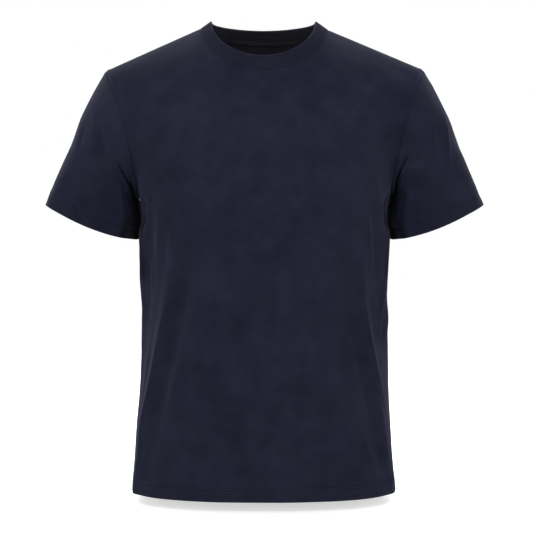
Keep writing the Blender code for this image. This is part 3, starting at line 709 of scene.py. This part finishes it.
def sleeve_surface(side, share, seam, angle):
    """Points of the smooth sleeve at shares of the way down each of its columns."""
    sign = 1.0 if side == "left" else -1.0
    mirror = np.array([sign, 1.0, 1.0])
    outer, inner = SLEEVE_HEM_OUTER * mirror, SLEEVE_HEM_INNER * mirror
    middle, radius = (outer + inner) / 2.0, (outer - inner) / 2.0
    axis = unit(np.array([radius[2] * sign, 0.0, -radius[0] * sign]))
    across = unit(np.cross(axis, radius)) * sign
    sine, cosine = np.sin(angle)[:, None], np.cos(angle)[:, None]
    under = (1.0 - cosine) / 2.0
    start = seam + np.array([sign * UNDERARM_GAP, 0.0, 0.0]) * smooth((under - 0.75) / 0.2)
    end = middle + radius * cosine + across * sine * SLEEVE_HEM_HALF_DEPTH
    end = end + axis * SLEEVE_HEM_DIP * sine ** 2
    near = 1.0 - (1.0 - under) * np.linalg.norm(radius) * 2.0 / SLEEVE_HEM_LIFT_REACH
    end = end - axis * SLEEVE_HEM_LIFT * np.clip(near, 0.0, 1.0) ** 2
    chord = np.linalg.norm(end - start, axis=1)[:, None]
    # Outwards all round, but down and back along the body right under the arm.
    low = under ** 6
    leave = np.concatenate([sign * (0.50 + 0.35 * under - 0.68 * low), -0.08 * sine + 0.27 * low,
                            -0.80 + 0.25 * under], axis=1)
    arrive = axis * (1.0 - low) - np.array([0.0, 0.0, 1.0]) * low
    aside = 0.5 * sine ** 2
    leave = unit(leave) * (1.0 - aside) + axis * aside
    leave = leave * chord * (0.80 - 0.40 * under ** 4)
    return hermite(start, leave, end, arrive * chord * 0.80, share[..., None]), axis


def sleeve_grid(side):
    """The sleeve's outer surface from the cuff up, and where each point lies on it."""
    seam, half = loop_round(side, 0)
    far = lengths(np.concatenate([seam, seam[:1]])[None], 1)[0]
    index = np.arange(len(seam))
    angle = np.where(index <= half, far[:-1] / far[half],
                     1.0 + (far[:-1] - far[half]) / (far[-1] - far[half])) * math.pi
    # Rows at set distances from the cuff's edge and from the seam, and evenly between.
    dense = np.linspace(0.0, 1.0, 401)
    points, axis = sleeve_surface(side, dense[:, None] + 0.0 * angle, seam, angle)
    reach = lengths(points, 0)
    hem = hem_heights(CUFF_STITCHES, (0.0205, 0.0235, 0.0270))
    near_seam = np.array([0.0062, 0.0046, 0.0033, 0.0023, 0.0015, 0.0007, 0.0])
    between = np.linspace(0.0, 1.0, 64)[1:-1, None]
    whole = reach[-1][None, :]
    height = np.concatenate([hem[:, None] + 0.0 * whole,
                             hem[-1] + (whole - near_seam[0] - hem[-1]) * between,
                             whole - near_seam[:, None]])
    share = np.stack([np.interp(whole[0, column] - height[:, column], reach[:, column], dense)
                      for column in range(len(seam))], axis=1)
    points, axis = sleeve_surface(side, share, seam, angle)
    return points, share, angle, axis, height, whole - height, hem


def near_path(u, v, path, steps=24):
    """How far each place is from a path with eased corners, and how far along it, from 0 to 1."""
    far = np.concatenate([[0.0], np.cumsum(np.hypot(*np.diff(path, axis=0).T))])
    places = np.linspace(0.0, far[-1], steps + 1)
    ease = far[-1] * 0.07
    path = sum(np.stack([np.interp(places + shift, far, path[:, axis]) for axis in (0, 1)], axis=1)
               for shift in (-ease, 0.0, ease)) / 3.0
    nearest, place = np.full(np.shape(u), np.inf), np.zeros(np.shape(u))
    for number, (start, step) in enumerate(zip(path, np.diff(path, axis=0))):
        along = ((u - start[0]) * step[0] + (v - start[1]) * step[1]) / (step @ step)
        along = np.clip(along, 0.0, 1.0)
        gap = np.hypot(u - start[0] - along * step[0], v - start[1] - along * step[1])
        place = np.where(gap < nearest, (number + along) / steps, place)
        nearest = np.minimum(gap, nearest)
    return nearest, place


def sleeve_folds(folds, share, angle, squareness=2):
    """How far folds move each point of a sleeve, in their own unit."""
    move = np.zeros_like(share)
    degrees = np.degrees(angle) + 0.0 * share
    for path, first, last, height, end in folds:
        path = np.array(path) * (FOLD_MAP, 1.0)
        # The path is turned to the middle of the map, away from the map's own seam.
        turn = 180.0 - path[:, 1].mean()
        path[:, 1] += turn
        gap, place = near_path(share * FOLD_MAP, (degrees + turn) % 360.0, path)
        width = first + (last - first) * place
        strength = smooth(place / 0.35) * (end + (1.0 - end) * smooth((1.0 - place) / 0.4))
        move += height * strength * np.exp(-(gap / width) ** squareness)
    return move


def dressed_sleeve(side):
    points, share, angle, axis, height, from_seam, hem = sleeve_grid(side)
    if side == "left":
        points, share, angle, height, from_seam = (
            values[..., ::-1] if values.ndim < 3 else values[:, ::-1]
            for values in (points, share, angle, height, from_seam))
    centre = points.mean(axis=1, keepdims=True)
    away = points - centre
    away = unit(away - axis * (away @ axis)[..., None])
    move = sleeve_folds(SLEEVE_FOLDS[side], share, angle) / 1000.0
    points = points + away * move[..., None]
    points[..., 1] += sleeve_folds([SLEEVE_LIP], share, angle) / 1000.0
    *slot, floor_top, floor_cuff = SLEEVE_SLOTS[side]
    sunk = sleeve_folds([(*slot, 1.0, 1.0)], share, angle, squareness=4)
    floor_y = (floor_top + (floor_cuff - floor_top) * smooth(share / 0.7)) / 1000.0
    points[..., 1] += sunk * np.maximum(floor_y - points[..., 1], 0.0)
    # The inner side follows the body's own side in.
    degrees = np.degrees(angle)
    follow = smooth((degrees - 125.0) / 20.0) * (1.0 - smooth((degrees - 172.0) / 33.0))
    inwards = -1.0 if side == "left" else 1.0
    points[..., 0] += inwards * SLEEVE_PULL * follow * side_pull(points[..., 2])
    out = outward(points, around=True)
    along = lengths(points, 1)
    seed = 41 if side == "right" else 53
    settle = smooth(from_seam / 0.03)
    move = np.zeros_like(along)
    for number, ripple in enumerate(SLEEVE_RIPPLES):
        move += uneven(along, height, seed + 5 * number, *ripple) * settle
    move += hem_relief(height, CUFF_STITCHES, along, seed + 9)
    move += seam_relief(from_seam, TOP_ALLOWANCE)
    # The seam under the arm, which the tube is closed by.
    low = int(np.argmin(np.abs(angle - math.pi)))
    begin = smooth((from_seam - 0.02) / 0.03)
    move += seam_relief(np.abs(along - along[:, low:low + 1])) * begin
    points = points + out * move[..., None]
    edge, _ = loop_round(side, 1)
    edge = edge[::-1] if side == "left" else edge
    points = points + (edge - points[-1]) * (1.0 - smooth(from_seam / 0.0045))[..., None]
    return points, outward(points, around=True), hem, sunk


for side in ("right", "left"):
    points, out, hem, sunk = dressed_sleeve(side)
    whole, rows = turned_rows(points, out, hem, CUFF_TURN, HEM_LAYERS)
    # The slot's weight also paints shade: a darker colour and less sheen down in the slot.
    piece = cloth_piece("jersey_sleeve_" + side, whole, JERSEY, around=True, painted_shade_amount=sunk[rows])
    for cloth in (jersey, jersey_painted_light_inside, jersey_with_painted_shade, jersey_painted_light_inside):
        piece.data.materials.append(cloth)
    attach(piece, "root")
    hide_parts("sleeve_" + side)
    for number, line in enumerate(CUFF_STITCHES):
        row = int(np.argmin(np.abs(hem - line)))
        thread_lines["sleeve_" + side, number] = points[row], out[row]


# ---------------------------------------------------------------- neckband
# A strip of 1x1 rib folded in half lengthwise, closed to a ring and sewn to the neckline by its
# two raw edges. It is sewn in a little stretched, so that it stands up and leans inwards.

BAND_TIP_X, BAND_TIP_Z = 0.0770, 0.0115
BAND_SHIFT = -0.0015
BAND_FRONT_TOP_Z = -0.0490
BAND_BACK_TOP_Z = 0.0060
BAND_FRONT_LEAN = 0.007
BAND_BACK_LEAN = 0.0155
BAND_THICKNESS = 0.0027
BAND_HEIGHT = 0.020
BAND_SHAPE = 1.9                    # how square the curve of its front edge is
BAND_FULLNESS = 0.0010              # how far the band stands out where it leaves its seam
RIB = 0.00175                       # from one rib to the next
RIB_COURSE = 0.00070                # one row of its stitches
RIB_RELIEF = 0.00020
BAND_FOLD_ROWS = 11, 14             # the band's rows of faces from which and up to which it folds


def neck_ring():
    """The neckline's seam all round, close together: points, x, and whether it's in front."""
    steps = np.linspace(-1.0, 1.0, 801)
    x = np.sin(np.abs(steps) * math.pi / 2.0) ** (2.0 / NECKLINES["front"][1])
    x = np.sign(steps) * x * NECK_HALF
    ring = []
    for panel, places in (("front", x), ("back", x[::-1][1:-1])):
        smooth_edge = neckline(panel, places)[0]
        base, points, _ = grids[panel]
        inner = slice(shoulder - 1, -shoulder + 1)
        sunk = (points - base)[-1, inner]
        at = base[-1, inner, 0]
        order = np.argsort(at)
        for axis in range(3):
            smooth_edge[:, axis] += np.interp(places, at[order], sunk[order, axis])
        ring.append((smooth_edge, places, np.full(len(places), panel == "front")))
    return [np.concatenate(part) for part in zip(*ring)]


def band_grid():
    points, x, in_front = neck_ring()
    far = lengths(np.concatenate([points, points[:1]])[None], 1)[0]
    ribs = int(round(far[-1] / RIB))
    want = np.arange(4 * ribs) * far[-1] / (4 * ribs)
    closed = np.concatenate([points, points[:1]])
    seam = np.stack([np.interp(want, far, closed[:, axis]) for axis in range(3)], axis=1)
    x = np.interp(want, far, np.concatenate([x, x[:1]]))
    in_front = np.interp(want, far, np.concatenate([in_front, in_front[:1]]).astype(float)) > 0.5
    along = np.clip(np.abs(x) / NECK_HALF, 0.0, 1.0)
    deep = np.sqrt(1.0 - along ** 2)
    front_z = (1.0 - along ** BAND_SHAPE) ** (1.0 / BAND_SHAPE)
    front_z = front_z * (BAND_TIP_Z - BAND_FRONT_TOP_Z)
    back_z = deep * (BAND_TIP_Z - BAND_BACK_TOP_Z)
    top = np.stack([np.sign(x) * along * BAND_TIP_X + BAND_SHIFT,
                    seam[:, 1] + np.where(in_front, BAND_FRONT_LEAN, -BAND_BACK_LEAN) * deep,
                    BAND_TIP_Z - np.where(in_front, front_z, back_z)], axis=1)
    out = outward(np.stack([seam, top]), around=True)[0]
    up = unit(top - seam)
    height = np.linalg.norm(top - seam, axis=1)[:, None]
    rib = np.array([1.0, 1.0, -1.0, -1.0])[np.arange(4 * ribs) % 4][:, None] * RIB_RELIEF / 2.0
    half = BAND_THICKNESS / 2.0
    rows = []
    for share in (0.0, 0.03, 0.07, 0.14, 0.28, 0.46, 0.64, 0.80, 0.91, 0.97):
        sunk = 1.0 - math.exp(-(share * BAND_HEIGHT / 0.0018) ** 2)
        fuller = BAND_FULLNESS * smooth(share / 0.08) * (1.0 - share)
        rows.append(seam + up * (height - half) * share + out * (fuller + rib * sunk))
    for turn in np.radians((12.0, 40.0, 68.0, 90.0, 112.0, 140.0, 168.0)):
        centre = seam + up * (height - half) - out * half
        rows.append(centre + (out * math.cos(turn) + up * math.sin(turn)) * (half + rib * 0.8))
    for share in (0.95, 0.80, 0.60, 0.40, 0.22, 0.10, 0.03, 0.0):
        rows.append(seam + up * (height - half) * share - out * (BAND_THICKNESS + rib * 0.8))
    return np.stack(rows)


def rib_cloth(name, colour, faded):
    cloth = Fabric(name)
    across, along = cloth.thread_map()
    colour, patches = dyed(cloth, colour, faded, 3.0)
    knit = knit_relief(across, along, RIB / 2.0, RIB_COURSE)
    cloth.feed({"Base Color": colour, "Roughness": patches * 0.14 + 0.80,
                "Normal": cloth.raised(knit, 0.5, 0.00015)})
    napped(cloth, 0.05)
    return cloth.material


band_points = band_grid()
neckband = cloth_piece("rib_neckband", band_points, 0.0, around=True)
neckband.modifiers.clear()
# The rib's inner side is painted lighter, standing in for light in the shaded inside of the neck.
for name, colour, faded in (
        ("rib_navy_washed", (0.0105, 0.0120, 0.0258), (0.0185, 0.0200, 0.0375)),
        ("rib_navy_painted_light_inside", (0.0240, 0.0225, 0.0315), (0.0370, 0.0350, 0.0465)),
        ("rib_navy_painted_highlight_fold", (0.0440, 0.0460, 0.0700), (0.0700, 0.0720, 0.1000))):
    neckband.data.materials.append(rib_cloth(name, colour, faded))
# Past the fold the band shows its inner side, painted lighter, and along the fold a paler rib is a
# painted highlight.
for face in neckband.data.polygons:
    row = face.index // band_points.shape[1]
    face.material_index = 0 if row < BAND_FOLD_ROWS[0] else 2 if row < BAND_FOLD_ROWS[1] else 1
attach(neckband, "root")
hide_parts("neckband")


# ---------------------------------------------------------------- neck tape
# A 9 mm twill tape that covers the neckband's seam inside the back of the neck, from one shoulder
# to the other. It is sewn down along both of its edges.

TAPE_REACH = 0.0918                 # how far the tape runs to either side
TAPE_START, TAPE_WIDTH = 0.0012, 0.0090
TAPE_DEPTH = 0.0020                 # from the outside of the back panel to the tape
TAPE_THICKNESS = 0.0006
TWILL_RIDGE = 0.0011                # from one slanting rib to the next


def tape_grid():
    x = np.linspace(-TAPE_REACH, TAPE_REACH, 241)
    top, across, rise = neckline("back", x)
    down = unit(upper_body("back", across, rise - 0.035) - top)
    side = np.gradient(top, axis=0)
    out = unit(np.cross(down, side))
    out *= np.sign(out[:, 1:2])
    share = np.array([0.0, 0.03, 0.09, 0.14, 0.19, 0.35, 0.5, 0.65, 0.81, 0.86, 0.91, 0.97, 1.0])
    share = share[::-1, None, None]
    far = lengths(top[None], 1)[0]
    sewn = np.exp(-((share - 0.14) / 0.045) ** 2) + np.exp(-((share - 0.86) / 0.045) ** 2)
    wave = uneven(far, share[..., 0] * TAPE_WIDTH, 71, 0.006, 0.014, 0.00012)[..., None]
    rounded = 0.00025 * (1.0 - smooth(np.minimum(share, 1.0 - share) / 0.06))
    depth = TAPE_DEPTH + TAPE_THICKNESS - rounded - sewn * 0.00022 + wave * 0.5
    return top + down * (TAPE_START + TAPE_WIDTH * share) - out * depth


def twill_cloth():
    cloth = Fabric("twill_tape_navy")
    across, along = cloth.thread_map()
    colour, patches = dyed(cloth, (0.0175, 0.0175, 0.0270), (0.0245, 0.0245, 0.0355), 6.0)
    # Slanting ribs that turn round at the tape's middle, as in a herringbone.
    slant = (along - TAPE_WIDTH / 2.0).math("ABSOLUTE") + across
    ridge = (slant * (2.0 * math.pi / TWILL_RIDGE)).math("SINE") * 0.5 + 0.5
    cloth.feed({"Base Color": colour, "Roughness": patches * 0.14 + 0.70,
                "Normal": cloth.raised(ridge, 0.5, 0.00012), "Specular IOR Level": 0.3})
    return cloth.material


tape = cloth_piece("neck_tape_twill", tape_grid(), TAPE_THICKNESS)
tape.data.materials.append(twill_cloth())
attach(tape, "root")
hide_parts("neck_tape")


# ---------------------------------------------------------------- stitching
# The twin needle lines of the hem and the cuffs, in polyester thread of the same navy. Each
# stitch lies on the cloth for its own length and dips into it at its two ends.

STITCH = 0.0030
STITCH_GAP = 0.12                   # the share of it that the thread spends under the cloth
STITCH_RISE, STITCH_SINK = 0.00033, 0.00012
THREAD = 0.00021                    # half the thread's thickness


def stitch_mesh(name, lines, closed):
    verts, faces = [], []
    sides = 6
    steps = np.linspace(0.0, 1.0, 6)
    for path, out in lines:
        if closed:
            path, out = np.concatenate([path, path[:1]]), np.concatenate([out, out[:1]])
        far = lengths(path[None], 1)[0]
        count = int(far[-1] / STITCH)
        starts = (np.arange(count) + STITCH_GAP / 2.0) * far[-1] / count
        places = starts[:, None] + steps * (far[-1] / count) * (1.0 - STITCH_GAP)
        centre = np.stack([np.interp(places, far, path[:, axis]) for axis in range(3)], axis=-1)
        normal = unit(np.stack([np.interp(places, far, out[:, axis]) for axis in range(3)],
                               axis=-1))
        arch = np.sin(steps * math.pi) ** 0.5
        centre = centre + normal * (arch * STITCH_RISE - STITCH_SINK)[:, None]
        forward = unit(centre[:, -1] - centre[:, 0])[:, None, :]
        beside = unit(np.cross(normal, forward))
        thick = THREAD * (0.55 + 0.45 * arch)[None, :, None, None]
        turn = np.linspace(0.0, 2.0 * math.pi, sides, endpoint=False)[None, None, :, None]
        ring = (centre[:, :, None] + normal[:, :, None] * np.cos(turn) * thick
                + beside[:, :, None] * np.sin(turn) * thick)
        first = sum(len(part) for part in verts)
        verts.append(ring.reshape(-1, 3))
        index = first + np.arange(count * len(steps) * sides).reshape(count, len(steps), sides)
        after = np.roll(index, -1, axis=2)
        quads = np.stack([index[:, :-1], after[:, :-1], after[:, 1:], index[:, 1:]], axis=-1)
        faces += quads.reshape(-1, 4).tolist()
        faces += index[:, 0, ::-1].tolist() + index[:, -1].tolist()
    mesh = bpy.data.meshes.new(name)
    mesh.from_pydata(np.concatenate(verts).tolist(), [], faces)
    return piece_of(mesh)


def thread_cloth():
    cloth = Fabric("thread_navy_polyester")
    speckle = cloth.noise(cloth.place(), 1500.0, 1.0)
    colour = cloth.blend(speckle, (0.0120, 0.0138, 0.0280), (0.0190, 0.0208, 0.0380))
    cloth.feed({"Base Color": colour, "Roughness": speckle * 0.2 + 0.60,
                "Specular IOR Level": 0.15})
    return cloth.material


thread = thread_cloth()
for name in ("front", "back", "sleeve_left", "sleeve_right"):
    lines = [thread_lines[name, number] for number in (0, 1)]
    piece = stitch_mesh("stitches_" + name, lines, closed=name.startswith("sleeve"))
    piece.data.materials.append(thread)
    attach(piece, "root")


# ---------------------------------------------------------------- floor, light and camera
# A white studio: an even white all round, with large soft lights, and a pale floor just under
# the shirt. The camera looks level from the front.

scene = bpy.context.scene
scene.view_settings.view_transform = "Standard"

FLOOR_Z = -0.6905
FLOOR_RADIUS = 9.0
floor_mesh = bpy.data.meshes.new("studio_floor")
floor_mesh.from_pydata([(FLOOR_RADIUS * math.cos(turn), FLOOR_RADIUS * math.sin(turn), FLOOR_Z)
                        for turn in np.linspace(0.0, 2.0 * math.pi, 64, endpoint=False)],
                       [], [tuple(range(64))])
floor = bpy.data.objects.new("studio_floor", floor_mesh)
floor.visible_diffuse = False
scene.collection.objects.link(floor)
white = Fabric("studio_floor_white")
# The floor glows white far off and less round the shirt, a painted shadow added to the shadow the
# shirt casts.
far_off = white.node("VectorMath", {"operation": "LENGTH"}, {0: white.place()})
part = (Value(far_off.outputs["Value"]) - 0.5) * 1.2
white.feed({"Base Color": (0.90, 0.90, 0.90), "Roughness": 0.9, "Specular IOR Level": 0.0,
            "Emission Color": white.blend(part, (0.46, 0.46, 0.46), (1.0, 1.0, 1.0)),
            "Emission Strength": 1.0})
floor_mesh.materials.append(white.material)

# The room's own light is stronger from above than from below, and its walls are seen white.
scene.world = bpy.data.worlds.new("studio_white")
scene.world.use_nodes = True
room = Nodes(scene.world.node_tree)
seen = room.tree.nodes["Background"]
room.put(seen.inputs["Color"], (1.0, 1.0, 1.0))
room.put(seen.inputs["Strength"], 1.0)
way = room.node("SeparateXYZ", None, {0: room.node("TexCoord").outputs["Generated"]})
glow = Value(way.outputs["Z"]) * 0.01 + 0.045
lit = room.node("Background", None, {"Strength": glow})
to_camera = room.node("LightPath").outputs["Is Camera Ray"]
either = room.node("MixShader", None, {0: to_camera, 1: lit.outputs[0], 2: seen.outputs[0]})
room.put(room.tree.nodes["World Output"].inputs["Surface"], either.outputs[0])


def soft_light(name, place, aim, width, height, power):
    """A soft box that points at the shirt's middle plane, at the height aim."""
    lamp = bpy.data.lights.new(name, "AREA")
    lamp.shape = "RECTANGLE"
    lamp.size, lamp.size_y = width, height
    lamp.energy = power
    holder = bpy.data.objects.new(name, lamp)
    holder.location = place
    way = Vector((0.0, 0.0, aim)) - Vector(place)
    holder.rotation_euler = way.to_track_quat("-Z", "Y").to_euler()
    scene.collection.objects.link(holder)


soft_light("light_front", (0.0, -3.0, 0.0), -0.3, 2.6, 1.4, 30.0)
soft_light("light_front_high", (0.0, -2.3, 1.6), -0.3, 2.4, 1.0, 27.0)
soft_light("light_left", (-2.2, -1.7, -0.4), -0.35, 1.1, 2.0, 24.0)
soft_light("light_right", (2.2, -1.7, -0.1), -0.35, 1.1, 2.0, 19.0)
soft_light("light_side_left", (-2.4, 0.1, 0.2), -0.3, 1.2, 2.0, 16.0)
soft_light("light_side_right", (2.4, 0.1, 0.2), -0.3, 1.2, 2.0, 14.0)
soft_light("light_behind_left", (-1.35, 1.3, 1.25), -0.15, 0.9, 1.8, 48.0)
soft_light("light_behind_right", (1.35, 1.3, 1.25), -0.15, 0.9, 1.8, 40.0)
soft_light("light_back", (0.0, 3.0, 0.2), -0.3, 2.6, 1.4, 20.0)

IMAGE_SIZE = 533.0                  # the image's width and height, in pixels
camera = bpy.data.objects.new("camera", bpy.data.cameras.new("camera"))
camera.location = (0.003, -2.2, -0.311)
camera.rotation_euler = (math.radians(90.0), 0.0, 0.0)
camera.data.lens = 100.8
camera.data.sensor_width = 36.0
camera.data.shift_y = -26.5 / IMAGE_SIZE
scene.collection.objects.link(camera)
bpy.context.scene.camera = camera
